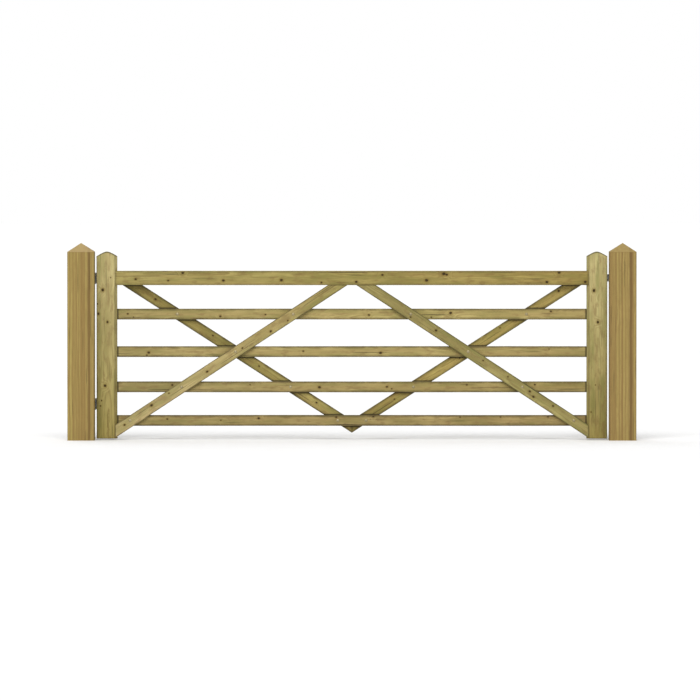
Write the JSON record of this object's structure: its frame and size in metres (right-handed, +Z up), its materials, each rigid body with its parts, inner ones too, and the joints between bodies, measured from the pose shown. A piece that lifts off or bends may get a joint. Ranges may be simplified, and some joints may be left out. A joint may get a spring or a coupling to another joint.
{
  "type": "timber field gate",
  "caption": "Wooden stock gate with diamond bracing, hung between two square posts on hook hinges, with a sliding bolt.",
  "frame": {"origin": "on the ground, in the middle of the whole gate in plan", "axes": "+X from the hanging post to the shutting post, +Y from the front to the back, where the leaf opens, +Z up"},
  "size_m": [4.004, 0.2558, 1.39],
  "materials": {
    "post_timber": "sawn and planed treated softwood, brown",
    "stile_timber": "planed treated softwood, green-tan",
    "rail_timber": "planed treated softwood, green-tan",
    "brace_timber": "planed treated softwood, green-tan",
    "peg_timber": "turned softwood dowel, end grain",
    "hinge_steel": "hot-dip galvanised",
    "latch_steel": "hot-dip galvanised",
    "fixing_zinc": "zinc-coated"
  },
  "bodies": {
    "root": {"hanging_post": "post_timber", "shutting_post": "post_timber", "top_hook": "hinge_steel", "bottom_hook": "hinge_steel", "hook_screws": "fixing_zinc", "keep": "latch_steel", "keep_screws": "fixing_zinc"},
    "leaf": {"hanging_stile": "stile_timber", "shutting_stile": "stile_timber", "top_rail": "rail_timber", "upper_rail": "rail_timber", "middle_rail": "rail_timber", "lower_rail": "rail_timber", "bottom_rail": "rail_timber", "front_brace_hanging": "brace_timber", "front_brace_shutting": "brace_timber", "rear_brace_hanging": "brace_timber", "rear_brace_shutting": "brace_timber", "hanging_pegs": "peg_timber", "shutting_pegs": "peg_timber", "top_band": "hinge_steel", "bottom_band": "hinge_steel", "latch_plate": "latch_steel", "short_brace_bolts": "fixing_zinc", "long_brace_bolts": "fixing_zinc", "brace_washers": "fixing_zinc", "brace_nuts": "fixing_zinc", "brace_end_screws": "fixing_zinc", "band_screws": "fixing_zinc", "latch_screws": "fixing_zinc"},
    "bolt": {"sliding_bolt": "latch_steel", "bolt_knob": "latch_steel"}
  },
  "joints": [
    {"name": "leaf_swing", "type": "hinge", "parent": "root", "child": "leaf", "pos_m": [-1.806, 0.07675, 0], "axis": [0, 0, 1], "range_deg": [0, 180]},
    {"name": "bolt_slide", "type": "slide", "parent": "leaf", "child": "bolt", "axis": [1, 0, 0], "range_m": [0, 0.085]}
  ]
}
